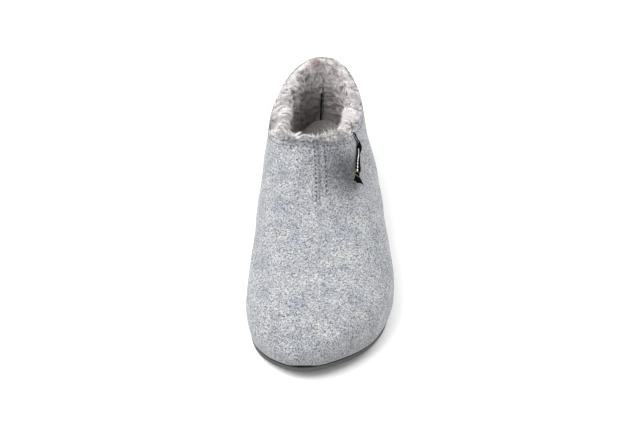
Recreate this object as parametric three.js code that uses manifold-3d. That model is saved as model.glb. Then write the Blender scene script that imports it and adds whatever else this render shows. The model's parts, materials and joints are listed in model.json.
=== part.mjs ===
import * as THREE from 'three';
import { mergeVertices } from 'three/addons/utils/BufferGeometryUtils.js';
import Module from 'manifold-3d';

const wasm = await Module();
wasm.setup();

// Left house slipper, in millimetres. The toe points to -Y, the outer side of the foot to +X.
// Sizes of the last, measured over the felt.
const LENGTH = 275;
const BALL_WIDTH = 106;
const INSTEP_HEIGHT = 78.5; // throat above the seat of the upper
const ANKLE_HEIGHT = 56; // lowest place of the collar above the seat
const BACK_HEIGHT = 73; // back of the collar above the seat
const HEEL_LEAN = 4; // how far the back of the collar leans to the toe
const TOE_SPRING = 9.3;
const SPRING_RUN = 77; // length of the rising toe
const COLLAR_TILT = .03; // rise of the collar to the outer side, per mm of width

// Layers of the wall.
const FELT = 3;
const PLUSH = 7.5;
const FOOTBED = 6;
const HEEL_LIFT = 8; // rise of the footbed from the ball to the heel
const GAP = .3;
const TUCK = 3.2; // rounding from the wall into the feather edge
const MARGIN = 14; // felt turned under the foot
const ROLL_RISE = 1; // middle of the plush roll above the felt edge

// Outsole.
const OUTSOLE = 7.2;
const RAND = 5.6; // height of the plain side below the step
const STEP = 1.3;
const BEVEL = 1.5;
const ARCH_RELIEF = 2.4;
const RIM = 7; // plain border round the tread
const TREAD = 1.4;
const GROOVE = 3;
const FORE_PITCH = 10.5;
const HEEL_PITCH = 10.5;

// Centre-front seam and the loop tag.
const SEAM_WIDTH = 2.4;
const SEAM_DEPTH = .9;
const RIBBON = 1;
const RIBBON_WIDTH = 6.6;
const TAG_DROP = 32.2;
const TAG_SLACK = .35; // the tag lies loose on the hollow
const WRAP = .7; // thread wound round the ribbon

const SEAT = OUTSOLE + GAP;
const LINING_OUT = FELT + GAP;
const LINING_IN = LINING_OUT + PLUSH;
const FELT_FLOOR = SEAT + FELT;
const STATIONS = 28;
const INNER_STATIONS = 16;

// Last, one row a section: along is the share of LENGTH from the toe; centre, half and slant are
// shares of BALL_WIDTH; low, the widest level, and crown are shares of INSTEP_HEIGHT.
const SECTIONS = [
  { along: 0, centre: -.116, half: .480, low: .160, crown: .363, slant: .16, square: 2.2 },
  { along: .06, centre: -.079, half: .548, low: .160, crown: .440, slant: .06, square: 2.2 },
  { along: .14, centre: -.039, half: .546, low: .160, crown: .503, slant: .014, square: 2.3 },
  { along: .24, centre: -.004, half: .513, low: .160, crown: .567, slant: 0, square: 2.35 },
  { along: .36, centre: .006, half: .483, low: .185, crown: .669, slant: -.005, square: 2.35 },
  { along: .50, centre: 0, half: .447, low: .236, crown: .873, slant: -.004, square: 2.35 },
  { along: .64, centre: .009, half: .408, low: .287, crown: 1.10, slant: -.040, square: 2.4 },
  { along: .80, centre: .006, half: .340, low: .338, crown: 1.33, slant: -.083, square: 2.5 },
  { along: 1, centre: .023, half: .336, low: .363, crown: 1.43, slant: -.028, square: 2.6 },
];

// Rounding of the two ends: run is a share of LENGTH.
const CAPS = {
  plan: { toe: { run: .33, power: 2 }, heel: { run: .20, power: 2.1 } },
  crown: { toe: { run: .16, power: 2.2 }, heel: { run: .06, power: 5 } },
};

// Collar edge from the throat to the back: instep, ankle and back are shares of their heights.
const TOPLINE = [
  { along: .510, instep: 1.19, ankle: 0, back: 0 },
  { along: .575, instep: 1.02, ankle: 0, back: 0 },
  { along: .655, instep: .885, ankle: 0, back: 0 },
  { along: .745, instep: 0, ankle: 1.09, back: 0 },
  { along: .836, instep: 0, ankle: 1, back: 0 },
  { along: .927, instep: 0, ankle: 1.10, back: 0 },
  { along: 1.018, instep: 0, ankle: 0, back: 1.03 },
];

// Soft hollow where the outer side of the vamp sinks in below the throat corner: around is the
// angle up from the widest level in degrees, deep a share of BALL_WIDTH, run one of LENGTH.
const HOLLOW = { along: .626, around: 38, deep: .075, run: .13, spread: 17 };

// Underside, one row a station: lift of the inner and outer border, shares of ARCH_RELIEF.
const UNDERSIDE = [
  { along: .47, inner: 0, outer: 0 },
  { along: .51, inner: .55, outer: .35 },
  { along: .57, inner: 1, outer: .7 },
  { along: .645, inner: 1, outer: .75 },
  { along: .66, inner: 0, outer: 0 },
];

// Tread fields, shares of LENGTH.
const TREAD_FIELDS = [
  { from: .075, to: .455, pitch: FORE_PITCH },
  { from: .69, to: .945, pitch: HEEL_PITCH },
];

// Stretch over which the footbed rises to the heel, shares of LENGTH.
const FOOTBED_RAMP = { from: .42, to: .78 };

// Loop tag down the outside of the felt: down is a share of TAG_DROP below the collar edge,
// half one of RIBBON_WIDTH, wrap one of WRAP.
const TAG = [
  { down: .04, along: .648, half: .20, wrap: 0 },
  { down: .12, along: .654, half: .20, wrap: 0 },
  { down: .23, along: .656, half: .22, wrap: 0 },
  { down: .34, along: .646, half: .26, wrap: 0 },
  { down: .40, along: .613, half: .30, wrap: 0 },
  { down: .51, along: .568, half: .30, wrap: 0 },
  { down: .73, along: .537, half: .29, wrap: 0 },
  { down: .85, along: .522, half: .21, wrap: 1 },
  { down: .93, along: .512, half: .21, wrap: 1 },
  { down: .96, along: .504, half: .32, wrap: 0 },
  { down: 1, along: .489, half: .50, wrap: 0 },
];

// The tag's way over the edge: inside goes from 1 in the lining to 0 outside the felt, over is a
// share of the ribbon's own lift above the edge.
const TAG_TURN = [
  { inside: 1, over: -5 },
  { inside: 1, over: .6 },
  { inside: .75, over: 1.5 },
  { inside: .25, over: 1.5 },
  { inside: 0, over: .6 },
];

// Plush locks round the collar, three rows: lean is the angle up from outward, in degrees.
const LOCK_ROWS = [
  { count: 17, lean: 150, long: 7.4, fat: 2.7, shift: 0 },
  { count: 18, lean: 96, long: 7.8, fat: 2.9, shift: .33 },
  { count: 17, lean: 46, long: 8, fat: 2.5, shift: .66 },
];
const LOCK_LIFT = 32; // degrees more for locks that lean forward over the throat

const clamp = (value, low, high) => Math.min(high, Math.max(low, value));
const radians = degrees => degrees * Math.PI / 180;
const cap = (share, { run, power }) =>
  (1 - (1 - clamp(share / run, 0, 1)) ** power) ** (1 / power);
const vec = (x, y, z) => new THREE.Vector3(x, y, z);

// Smooth curve through the named columns of a table.
function curve(rows, value, along) {
  const last = rows.length - 1;
  const at = clamp(along, rows[0].along, rows[last].along);
  let i = 0;
  while (i < last - 1 && at > rows[i + 1].along) i++;
  const slope = k => {
    const a = Math.max(0, k - 1), b = Math.min(last, k + 1);
    return (value(rows[b]) - value(rows[a])) / (rows[b].along - rows[a].along);
  };
  const run = rows[i + 1].along - rows[i].along;
  const t = (at - rows[i].along) / run;
  return value(rows[i]) * (1 - t) ** 2 * (1 + 2 * t) + slope(i) * run * t * (1 - t) ** 2
    + value(rows[i + 1]) * t * t * (3 - 2 * t) - slope(i + 1) * run * t * t * (1 - t);
}

function straight(rows, value, along) {
  if (along <= rows[0].along || along >= rows[rows.length - 1].along) return 0;
  const i = rows.findIndex(row => row.along > along) - 1;
  const t = (along - rows[i].along) / (rows[i + 1].along - rows[i].along);
  return value(rows[i]) * (1 - t) + value(rows[i + 1]) * t;
}

const spring = y => TOE_SPRING * clamp(1 - (y + LENGTH / 2) / SPRING_RUN, 0, 1) ** 2;
const lengthwise = (along, inset) => inset + along * (LENGTH - 2 * inset) - LENGTH / 2;

// Half width and middle of the last's outline, drawn smaller all round by the inset.
function plan(along, inset) {
  const ends = cap(along, CAPS.plan.toe) * cap(1 - along, CAPS.plan.heel);
  const half = curve(SECTIONS, row => row.half, along) * BALL_WIDTH - inset;
  return {
    centre: curve(SECTIONS, row => row.centre, along) * BALL_WIDTH,
    half: half * ends,
    ends,
    y: lengthwise(along, inset),
  };
}

// Section of the last at one station, drawn smaller all round by the inset.
function section(along, inset) {
  const edge = { run: TUCK / LENGTH, power: 2 };
  const low = curve(SECTIONS, row => row.low, along) * INSTEP_HEIGHT;
  const crown = curve(SECTIONS, row => row.crown, along) * INSTEP_HEIGHT;
  const round = cap(along, CAPS.crown.toe) * cap(1 - along, CAPS.crown.heel);
  return {
    ...plan(along, inset),
    low,
    rise: (crown - low - inset) * round,
    drop: (low - inset) * cap(along, edge) * cap(1 - along, edge),
    slant: curve(SECTIONS, row => row.slant, along) * BALL_WIDTH * round,
    power: 2 / curve(SECTIONS, row => row.square, along),
  };
}

function leaned(x, y, z, along) {
  const widest = SECTIONS[SECTIONS.length - 1].low * INSTEP_HEIGHT;
  const height = (z - SEAT - widest) / (BACK_HEIGHT - widest);
  return vec(x, y - HEEL_LEAN * height ** 2 * clamp((along - .7) / .3, 0, 1), z);
}

// Point on the upper half of the wall, at an angle up from the widest level of the outer side.
function wall(along, degrees, inset) {
  const { centre, half, ends, y, low, rise, slant, power } = section(along, inset);
  const angle = radians(degrees), c = Math.cos(angle), up = Math.sin(angle) ** power;
  const dent = HOLLOW.deep * BALL_WIDTH * ends * Math.exp(
    -(((along - HOLLOW.along) / HOLLOW.run) ** 2) - ((degrees - HOLLOW.around) / HOLLOW.spread) ** 2);
  const x = centre + half * Math.sign(c) * Math.abs(c) ** power + slant * up - dent * c;
  return leaned(x, y, SEAT + low + spring(y) + rise * up - dent * Math.sin(angle), along);
}

// Point below the widest level: side is 1 on the outer side, across goes to 0 at the middle.
function under(along, side, quarter, across, inset) {
  const { centre, half, y, low, drop } = section(along, inset);
  const turn = radians(quarter);
  const edge = half - Math.min(TUCK, half / 2) * (1 - Math.cos(turn));
  return leaned(centre + side * across * edge, y, SEAT + low + spring(y) - drop * Math.sin(turn), along);
}

// Welded closed surface through rings of points. Rings that fall together close the ends.
function loft(rings, ringed = false) {
  const count = rings[0].length, points = rings.flat(), faces = [];
  for (let i = 0; i < rings.length - (ringed ? 0 : 1); i++) {
    for (let j = 0; j < count; j++) {
      const a = i * count + j, b = i * count + (j + 1) % count;
      const next = ((i + 1) % rings.length) * count;
      const c = next + (j + 1) % count, d = next + j;
      faces.push(a, b, c, a, c, d);
    }
  }
  const geometry = new THREE.BufferGeometry();
  geometry.setAttribute('position', new THREE.Float32BufferAttribute(points.flatMap(p => p.toArray()), 3));
  geometry.setIndex(faces);
  return solid(geometry);
}

function solid(geometry) {
  geometry.deleteAttribute('normal');
  geometry.deleteAttribute('uv');
  const welded = mergeVertices(geometry, 1e-4);
  const at = welded.getAttribute('position').array, index = welded.getIndex().array;
  const corner = k => vec(at[3 * k], at[3 * k + 1], at[3 * k + 2]);
  const kept = [];
  let volume = 0;
  for (let i = 0; i < index.length; i += 3) {
    const [a, b, c] = index.slice(i, i + 3);
    if (a === b || b === c || c === a) continue;
    kept.push([a, b, c]);
    volume += corner(a).dot(corner(b).cross(corner(c)));
  }
  const triVerts = Uint32Array.from(kept.flatMap(face => (volume > 0 ? face : face.reverse())));
  return new wasm.Manifold(new wasm.Mesh({ numProp: 3, vertProperties: Float32Array.from(at), triVerts }));
}

function mesh(name, body, colour, roughness) {
  const data = body.getMesh();
  const geometry = new THREE.BufferGeometry();
  geometry.setAttribute('position', new THREE.BufferAttribute(new Float32Array(data.vertProperties), 3));
  geometry.setIndex(new THREE.BufferAttribute(new Uint32Array(data.triVerts), 1));
  geometry.computeVertexNormals();
  const material = new THREE.MeshStandardMaterial({ color: colour, roughness, metalness: 0 });
  const result = new THREE.Mesh(geometry, material);
  result.name = name;
  return result;
}

const stations = count => Array.from({ length: count + 1 }, (_, i) => (1 - Math.cos(Math.PI * i / count)) / 2);

// Closed form of the last at one inset. The outermost form carries the centre-front seam.
function lastForm(inset, count = STATIONS, seamed = false) {
  const rings = stations(count).map(along => {
    const { half, power } = section(along, inset);
    const beside = 90 - THREE.MathUtils.radToDeg(
      Math.acos(clamp(SEAM_WIDTH / 2 / Math.max(half, SEAM_WIDTH), 0, 1) ** (1 / power)));
    const angles = [0, 12, 21, 29, 37, 45, 53, 61, 70, 80, 90 - beside];
    const seam = wall(along, 90, inset);
    if (seamed && along > 0 && along < HOLLOW.along) seam.z -= Math.min(SEAM_DEPTH, half / 8);
    return [
      ...angles.map(angle => wall(along, angle, inset)),
      seam,
      ...angles.toReversed().map(angle => wall(along, 180 - angle, inset)),
      ...[30, 60, 90].map(quarter => under(along, -1, quarter, 1, inset)),
      under(along, -1, 90, 0, inset),
      ...[90, 60, 30].map(quarter => under(along, 1, quarter, 1, inset)),
    ];
  });
  return loft(rings);
}

const collarHeight = along => SEAT + curve(TOPLINE, row =>
  row.instep * INSTEP_HEIGHT + row.ankle * ANKLE_HEIGHT + row.back * BACK_HEIGHT, along);

// Everything above the collar edge, cut across the shoe and tilted with it.
function aboveCollar(rise, inset) {
  const first = TOPLINE[0].along, last = TOPLINE[TOPLINE.length - 1].along, sky = 3 * INSTEP_HEIGHT;
  const edge = Array.from({ length: 25 }, (_, i) => first + (last - first) * i / 24)
    .map(along => [lengthwise(along, inset), collarHeight(along) + rise]);
  edge.push([LENGTH, edge[24][1]]);
  const rings = [-1, 1].map(side => {
    const x = side * BALL_WIDTH;
    const row = edge.map(([y, z]) => vec(x, y, z + COLLAR_TILT * x));
    return [...row, ...row.toReversed().map(p => vec(x, p.y, sky))];
  });
  return loft(capped(rings));
}

// Rings with their ends gathered to one point.
function capped(rings) {
  const gather = ring => {
    const middle = ring.reduce((sum, p) => sum.add(p), vec(0, 0, 0)).divideScalar(ring.length);
    return ring.map(() => middle.clone());
  };
  return [gather(rings[0]), ...rings, gather(rings[rings.length - 1])];
}

// Plate with the last's outline: each level has an inset and a height at (along, share across).
function plate(bottom, sides, top, columns, alongs = stations(STATIONS)) {
  const across = Array.from({ length: columns + 1 }, (_, i) => 2 * i / columns - 1);
  const place = (along, share, { inset, height }) => {
    const { centre, half, y } = plan(along, inset);
    return vec(centre + share * half, y, height(y, share, along));
  };
  return loft(alongs.map(along => [
    ...across.map(share => place(along, share, bottom)),
    ...sides.map(level => place(along, 1, level)),
    ...across.toReversed().map(share => place(along, share, top)),
    ...sides.toReversed().map(level => place(along, -1, level)),
  ]));
}

const level = (inset, z) => ({ inset, height: y => z + spring(y) });

function ground(lift) {
  return (y, share, along) => {
    const side = (share + 1) / 2;
    const relief = straight(UNDERSIDE, row => row.inner * (1 - side) + row.outer * side, along);
    return lift + relief * ARCH_RELIEF + spring(y);
  };
}

// Grooves in chevrons, kept inside the rim.
function treadCutter() {
  const inset = TUCK + BEVEL + RIM;
  const field = plate(level(inset, -OUTSOLE), [], level(inset, TREAD), 4);
  const chevrons = TREAD_FIELDS.flatMap(({ from, to, pitch }) => {
    const count = Math.floor((to - from) * LENGTH / pitch);
    return Array.from({ length: count + 1 }, (_, i) => chevron(from * LENGTH - LENGTH / 2 + i * pitch));
  });
  return field.intersect(wasm.Manifold.union(chevrons));
}

function chevron(y) {
  const arm = BALL_WIDTH / 2, fall = arm * Math.tan(radians(14));
  const outline = [[-arm, -fall], [0, 0], [arm, -fall], [arm, GROOVE - fall], [0, GROOVE], [-arm, GROOVE - fall]];
  const shape = new THREE.Shape(outline.map(([x, dy]) => new THREE.Vector2(x, y + dy)));
  const geometry = new THREE.ExtrudeGeometry(shape, { depth: 4 * OUTSOLE, bevelEnabled: false });
  geometry.translate(0, 0, -2 * OUTSOLE);
  return solid(geometry);
}

// The raised middle of the top fills the opening that the turned-under felt leaves.
function outsoleBody() {
  const alongs = [...stations(STATIONS), ...UNDERSIDE.map(row => row.along)].sort((a, b) => a - b);
  const island = TUCK + MARGIN + GAP;
  const sides = [
    { inset: TUCK, height: ground(BEVEL) },
    level(TUCK, RAND),
    level(TUCK + STEP, RAND),
    level(TUCK + STEP, OUTSOLE),
    level(island, OUTSOLE),
  ];
  const body = plate({ inset: TUCK + BEVEL, height: ground(0) }, sides, level(island, FELT_FLOOR), 4, alongs);
  return body.subtract(treadCutter());
}

function upperBody() {
  const opening = plate(level(TUCK + MARGIN, 0), [], level(TUCK + MARGIN, FELT_FLOOR + PLUSH), 2);
  return lastForm(0, STATIONS, true).subtract(lastForm(FELT)).subtract(aboveCollar(0, 0)).subtract(opening);
}

const aboveEdge = (p, rise, inset) =>
  p.z - collarHeight((p.y + LENGTH / 2 - inset) / (LENGTH - 2 * inset)) - rise - COLLAR_TILT * p.x;

// Halves the way between a place below the collar edge and one above it.
function meet(place, below, above, rise, inset) {
  for (let k = 0; k < 30; k++) {
    const middle = (below + above) / 2;
    if (aboveEdge(place(middle), rise, inset) > 0) above = middle; else below = middle;
  }
  return below;
}

// Angle at which one station's outer wall meets the collar edge.
const edgeAngle = (along, inset, rise) => meet(angle => wall(along, angle, inset), 0, 90, rise, inset);
const edgePoint = (along, inset, rise) => wall(along, edgeAngle(along, inset, rise), inset);

// Points round the collar on the wall at an inset, in order from the throat, evenly spaced.
function collarLoop(inset, rise, count) {
  const spine = along => wall(along, 90, inset), front = TOPLINE[0].along;
  const alongs = Array.from({ length: 121 }, (_, i) => front + (1 - front) * i / 120)
    .filter(along => aboveEdge(spine(along), rise, inset) > 0);
  const right = alongs.map(along => edgePoint(along, inset, rise));
  const left = alongs.map(along => {
    const place = angle => wall(along, 180 - angle, inset);
    return place(meet(place, 0, 90, rise, inset));
  });
  const throat = spine(meet(spine, front, alongs[0], rise, inset));
  const back = spine(meet(spine, 1, alongs[alongs.length - 1], rise, inset));
  const path = new THREE.CatmullRomCurve3([throat, ...right, back, ...left.reverse()], true);
  path.arcLengthDivisions = 800;
  return path.getSpacedPoints(count).slice(0, count);
}

// Local directions on the collar: out of the wall, and up along it.
function frameAt(points, i) {
  const count = points.length;
  const along = points[(i + 1) % count].clone().sub(points[(i + count - 1) % count]).normalize();
  const outward = along.clone().cross(vec(0, 0, 1)).normalize();
  const middle = points.reduce((sum, p) => sum.add(p), vec(0, 0, 0)).divideScalar(count);
  if (outward.dot(points[i].clone().sub(middle)) < 0) outward.negate();
  return { along, outward, up: vec(0, 0, 1).addScaledVector(along, -along.z).normalize() };
}

function around(centre, { outward, up }, radius, sides) {
  return Array.from({ length: sides }, (_, k) => centre.clone()
    .addScaledVector(outward, radius * Math.cos(2 * Math.PI * k / sides))
    .addScaledVector(up, radius * Math.sin(2 * Math.PI * k / sides)));
}

function plushRoll() {
  const points = collarLoop(LINING_OUT + PLUSH / 2, ROLL_RISE, 44);
  return loft(points.map((p, i) => around(p, frameAt(points, i), PLUSH * .44, 6)), true);
}

// Drop-shaped lock, fat near its root and drawn out to a bent tip.
function lock(root, frame, { lean, long, fat }, turn) {
  const reach = frame.outward.clone().multiplyScalar(Math.cos(radians(lean)))
    .addScaledVector(frame.up, Math.sin(radians(lean))).addScaledVector(frame.along, turn).normalize();
  const side = frame.along.clone().addScaledVector(reach, -reach.dot(frame.along)).normalize();
  const axes = { outward: side, up: side.clone().cross(reach) };
  const rings = [[.12, .9], [.5, 1]].map(([share, width]) => around(
    root.clone().addScaledVector(reach, long * share).addScaledVector(side, turn * share ** 2 * fat),
    axes, fat * width, 4));
  const tip = root.clone().addScaledVector(reach, long).addScaledVector(side, turn * fat);
  return loft([rings[0].map(() => root.clone()), ...rings, rings[0].map(() => tip.clone())]);
}

// Locks in staggered rows, left out where the tag comes over the edge.
function plushLocks() {
  const tag = edgePoint(TAG[0].along, LINING_OUT, 0);
  return LOCK_ROWS.flatMap((row, r) => {
    const points = collarLoop(LINING_OUT + PLUSH / 2, ROLL_RISE, 4 * row.count);
    return points.flatMap((root, i) => {
      if (i % 4 !== Math.round(4 * row.shift) % 4 || root.distanceTo(tag) < 2 * RIBBON_WIDTH) return [];
      const frame = frameAt(points, i), scatter = Math.sin(12.9 * i + 78.2 * r);
      const lean = row.lean + (row.lean < 90 ? LOCK_LIFT * Math.max(0, -frame.outward.y) : 0);
      return [lock(root, frame, { ...row, lean, long: row.long * (1 + .1 * scatter) }, .5 * scatter)];
    });
  });
}

function liningBody() {
  const inside = TUCK + LINING_IN;
  const seat = plate(level(inside, 0), [], level(inside, FELT_FLOOR + FOOTBED + PLUSH), 2);
  const shell = lastForm(LINING_OUT).subtract(lastForm(LINING_IN, INNER_STATIONS)).subtract(seat)
    .subtract(aboveCollar(ROLL_RISE, LINING_OUT + PLUSH / 2));
  return wasm.Manifold.union([shell, plushRoll(), ...plushLocks()]).subtract(tagBody(GAP));
}

function insoleBody() {
  const inset = TUCK + LINING_IN + GAP, under = FELT_FLOOR + GAP;
  const raised = (y, along) => under + spring(y)
    + HEEL_LIFT * THREE.MathUtils.smoothstep(along, FOOTBED_RAMP.from, FOOTBED_RAMP.to);
  const top = (y, share, along) => raised(y, along) + FOOTBED
    - FOOTBED * .22 * (1 - share ** 2) * cap(1 - along, { run: .3, power: 2 })
    + FOOTBED * .25 * clamp(-share, 0, 1) ** 2 * Math.exp(-(((along - .58) / .1) ** 2));
  const sides = [{ inset, height: (y, share, along) => raised(y, along) + FOOTBED * .8 }];
  return plate(level(inset, under), sides, { inset: inset + 1.2, height: top }, 4);
}

// Point on the wall a distance to the side of a path that travels over it.
function beside({ along, angle, inset }, travel, distance) {
  const here = wall(along, angle, inset), step = 1e-3;
  const ahead = wall(along + step, angle, inset).sub(here).divideScalar(step);
  const round = wall(along, angle + 1, inset).sub(here);
  const move = ahead.clone().cross(round).cross(travel).normalize().multiplyScalar(distance);
  const mixed = ahead.dot(round), scale = ahead.lengthSq() * round.lengthSq() - mixed ** 2;
  return wall(
    along + (move.dot(ahead) * round.lengthSq() - move.dot(round) * mixed) / scale,
    angle + (move.dot(round) * ahead.lengthSq() - move.dot(ahead) * mixed) / scale, inset);
}

// Points of the tag's middle surface, row by row from its root in the lining to its tails.
function tagRows(extra) {
  const clear = GAP + TAG_SLACK + RIBBON / 2;
  const reach = half => [-1, -.5, 0, .5, 1].map(share => share * (half * RIBBON_WIDTH + extra));
  const turn = TAG_TURN.map(({ inside, over }) => ({
    wrap: 0,
    points: reach(TAG[0].half).map(shift =>
      edgePoint(TAG[0].along + shift / LENGTH, inside * (FELT + 2 * clear) - clear, over * clear)),
  }));
  const places = TAG.map(({ along, down }) =>
    ({ along, inset: -clear, angle: edgeAngle(along, -clear, -down * TAG_DROP) }));
  const spine = places.map(({ along, angle, inset }) => wall(along, angle, inset));
  const fall = TAG.map(({ half, wrap }, i) => {
    const travel = spine[Math.min(TAG.length - 1, i + 1)].clone().sub(spine[Math.max(0, i - 1)]);
    return { wrap, points: reach(half).map(shift => beside(places[i], travel, shift)) };
  });
  return [...turn, ...fall];
}

function tagBody(extra) {
  const rows = tagRows(extra), last = rows.length - 1;
  const half = (i, j) => {
    const down = rows[Math.min(last, i + 1)].points[j].clone().sub(rows[Math.max(0, i - 1)].points[j]);
    const over = rows[i].points[Math.min(4, j + 1)].clone().sub(rows[i].points[Math.max(0, j - 1)]);
    return down.cross(over).normalize().multiplyScalar(RIBBON / 2 + extra);
  };
  return loft(capped(rows.map(({ points, wrap }, i) => [
    ...points.map((p, j) => p.clone().addScaledVector(half(i, j), 1 + wrap * 2 * WRAP / RIBBON)),
    ...points.map((p, j) => p.clone().sub(half(i, j))).reverse(),
  ])));
}

const group = new THREE.Group();
group.name = 'house_slipper';
group.add(mesh('outsole', outsoleBody(), 0x515051, .85));
group.add(mesh('upper', upperBody(), 0xbdbfc3, .95));
group.add(mesh('lining', liningBody(), 0xd3cfcd, 1));
group.add(mesh('insole', insoleBody(), 0x9d9896, 1));
group.add(mesh('ribbon_tag', tagBody(0), 0x151515, .7));
export default group;
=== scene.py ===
# House slipper, left shoe: felt upper, plush lining, footbed, moulded outsole and loop tag.
# Sizes are in millimetres as in the part's source, and meshes are made in metres.
import json
import math

import bmesh
import bpy
import numpy as np
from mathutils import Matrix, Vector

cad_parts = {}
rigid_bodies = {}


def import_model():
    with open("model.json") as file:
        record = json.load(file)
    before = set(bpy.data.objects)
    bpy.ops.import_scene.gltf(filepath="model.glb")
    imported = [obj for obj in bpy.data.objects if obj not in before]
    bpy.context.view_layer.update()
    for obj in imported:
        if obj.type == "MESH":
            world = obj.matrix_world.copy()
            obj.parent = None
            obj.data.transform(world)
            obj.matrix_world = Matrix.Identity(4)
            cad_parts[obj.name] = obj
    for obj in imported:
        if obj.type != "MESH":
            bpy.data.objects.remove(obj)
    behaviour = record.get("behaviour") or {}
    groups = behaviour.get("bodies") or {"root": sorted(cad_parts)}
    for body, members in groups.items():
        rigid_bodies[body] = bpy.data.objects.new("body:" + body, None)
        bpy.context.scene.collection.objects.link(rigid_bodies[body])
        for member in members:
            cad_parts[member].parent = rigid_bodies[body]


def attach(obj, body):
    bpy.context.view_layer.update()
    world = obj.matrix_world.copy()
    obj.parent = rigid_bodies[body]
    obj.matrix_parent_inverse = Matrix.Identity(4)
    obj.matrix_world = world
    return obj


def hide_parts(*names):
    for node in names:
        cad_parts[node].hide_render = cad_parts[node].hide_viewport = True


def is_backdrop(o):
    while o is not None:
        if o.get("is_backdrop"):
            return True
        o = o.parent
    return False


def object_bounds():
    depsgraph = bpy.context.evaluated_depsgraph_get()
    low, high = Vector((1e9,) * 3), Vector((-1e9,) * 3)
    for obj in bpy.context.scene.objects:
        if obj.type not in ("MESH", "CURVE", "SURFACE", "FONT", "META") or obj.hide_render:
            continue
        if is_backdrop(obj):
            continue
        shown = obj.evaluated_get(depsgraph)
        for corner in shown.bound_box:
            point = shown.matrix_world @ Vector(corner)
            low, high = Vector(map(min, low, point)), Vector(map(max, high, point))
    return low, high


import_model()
cad_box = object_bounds()

MM = .001

# The last: sizes and tables as in the part's source.
LENGTH, BALL_WIDTH, INSTEP_HEIGHT, ANKLE_HEIGHT, BACK_HEIGHT = 275, 106, 78.5, 56, 73
HEEL_LEAN, TOE_SPRING, SPRING_RUN, COLLAR_TILT, TUCK = 4, 9.3, 77, .03, 3.2
SEAT, FELT, LINING_OUT, FOOTBED_INSET, FOOTBED, HEEL_LIFT = 7.5, 3, 3.3, 14.3, 6, 8
FELT_FLOOR = SEAT + FELT
CENTRE, HALF, LOW, CROWN, SLANT, SQUARE = range(1, 7)
SECTIONS = np.array([  # along, then the six above
    (0, -.116, .480, .160, .363, .16, 2.2),
    (.06, -.079, .548, .160, .440, .06, 2.2),
    (.14, -.039, .546, .160, .503, .014, 2.3),
    (.24, -.004, .513, .160, .567, 0, 2.35),
    (.36, .006, .483, .185, .669, -.005, 2.35),
    (.50, 0, .447, .236, .873, -.004, 2.35),
    (.64, .009, .408, .287, 1.10, -.040, 2.4),
    (.80, .006, .340, .338, 1.33, -.083, 2.5),
    (1, .023, .336, .363, 1.43, -.028, 2.6),
]).T
# Rounding of the toe and heel ends as (run, power), in plan, over the crown
PLAN_ENDS, CROWN_ENDS = ((.33, 2), (.20, 2.1)), ((.16, 2.2), (.06, 5))
FEATHER_ENDS = ((TUCK / LENGTH, 2),) * 2
LEAN_FROM, LEAN_RUN = .7, .3  # shares of the length where the back leans to the toe
# along, height above the seat
TOPLINE = np.array([
    (.510, 1.19 * INSTEP_HEIGHT), (.575, 1.02 * INSTEP_HEIGHT), (.655, .885 * INSTEP_HEIGHT),
    (.745, 1.09 * ANKLE_HEIGHT), (.836, ANKLE_HEIGHT), (.927, 1.10 * ANKLE_HEIGHT),
    (1.018, 1.03 * BACK_HEIGHT),
]).T
HOLLOW_ALONG, HOLLOW_AROUND, HOLLOW_DEEP, HOLLOW_RUN, HOLLOW_SPREAD = .626, 38, .075, .13, 17
# Underside: along, inner lift, outer lift, in shares of the arch relief
ARCH_RELIEF = 2.4
UNDERSIDE = np.array([(.47, 0, 0), (.51, .55, .35), (.57, 1, .7), (.645, 1, .75), (.66, 0, 0)]).T


# ---- shape of the last

def curve(knots, values, at):
    """Smooth curve through a table, as in the part's source."""
    at = np.clip(at, knots[0], knots[-1])
    i = np.clip(np.searchsorted(knots, at, side="right") - 1, 0, len(knots) - 2)
    slope = np.gradient(values, knots)
    slope[1:-1] = (values[2:] - values[:-2]) / (knots[2:] - knots[:-2])
    run = knots[i + 1] - knots[i]
    t = (at - knots[i]) / run
    return (values[i] * (1 - t) ** 2 * (1 + 2 * t) + slope[i] * run * t * (1 - t) ** 2
            + values[i + 1] * t * t * (3 - 2 * t) - slope[i + 1] * run * t * t * (1 - t))


def section(which, along):
    return curve(SECTIONS[0], SECTIONS[which], along)


def smooth(value, low, high):
    t = np.clip((value - low) / (high - low), 0, 1)
    return t * t * (3 - 2 * t)


def unit(v, least=0.):
    return v / np.maximum(np.linalg.norm(v, axis=-1, keepdims=True), least)


def cap(share, run, power):
    return (1 - (1 - np.clip(share / run, 0, 1)) ** power) ** (1 / power)


def both_ends(along, ends):
    toe, heel = ends
    return cap(along, *toe) * cap(1 - along, *heel)


def spring(y):
    return TOE_SPRING * np.clip(1 - (y + LENGTH / 2) / SPRING_RUN, 0, 1) ** 2


def plan(along, inset):
    """Centre and half width of the outline, its rounding, and its place lengthwise."""
    ends = both_ends(along, PLAN_ENDS)
    half = section(HALF, along) * BALL_WIDTH - inset
    y = inset + along * (LENGTH - 2 * inset) - LENGTH / 2
    return section(CENTRE, along) * BALL_WIDTH, half * ends, ends, y


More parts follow.
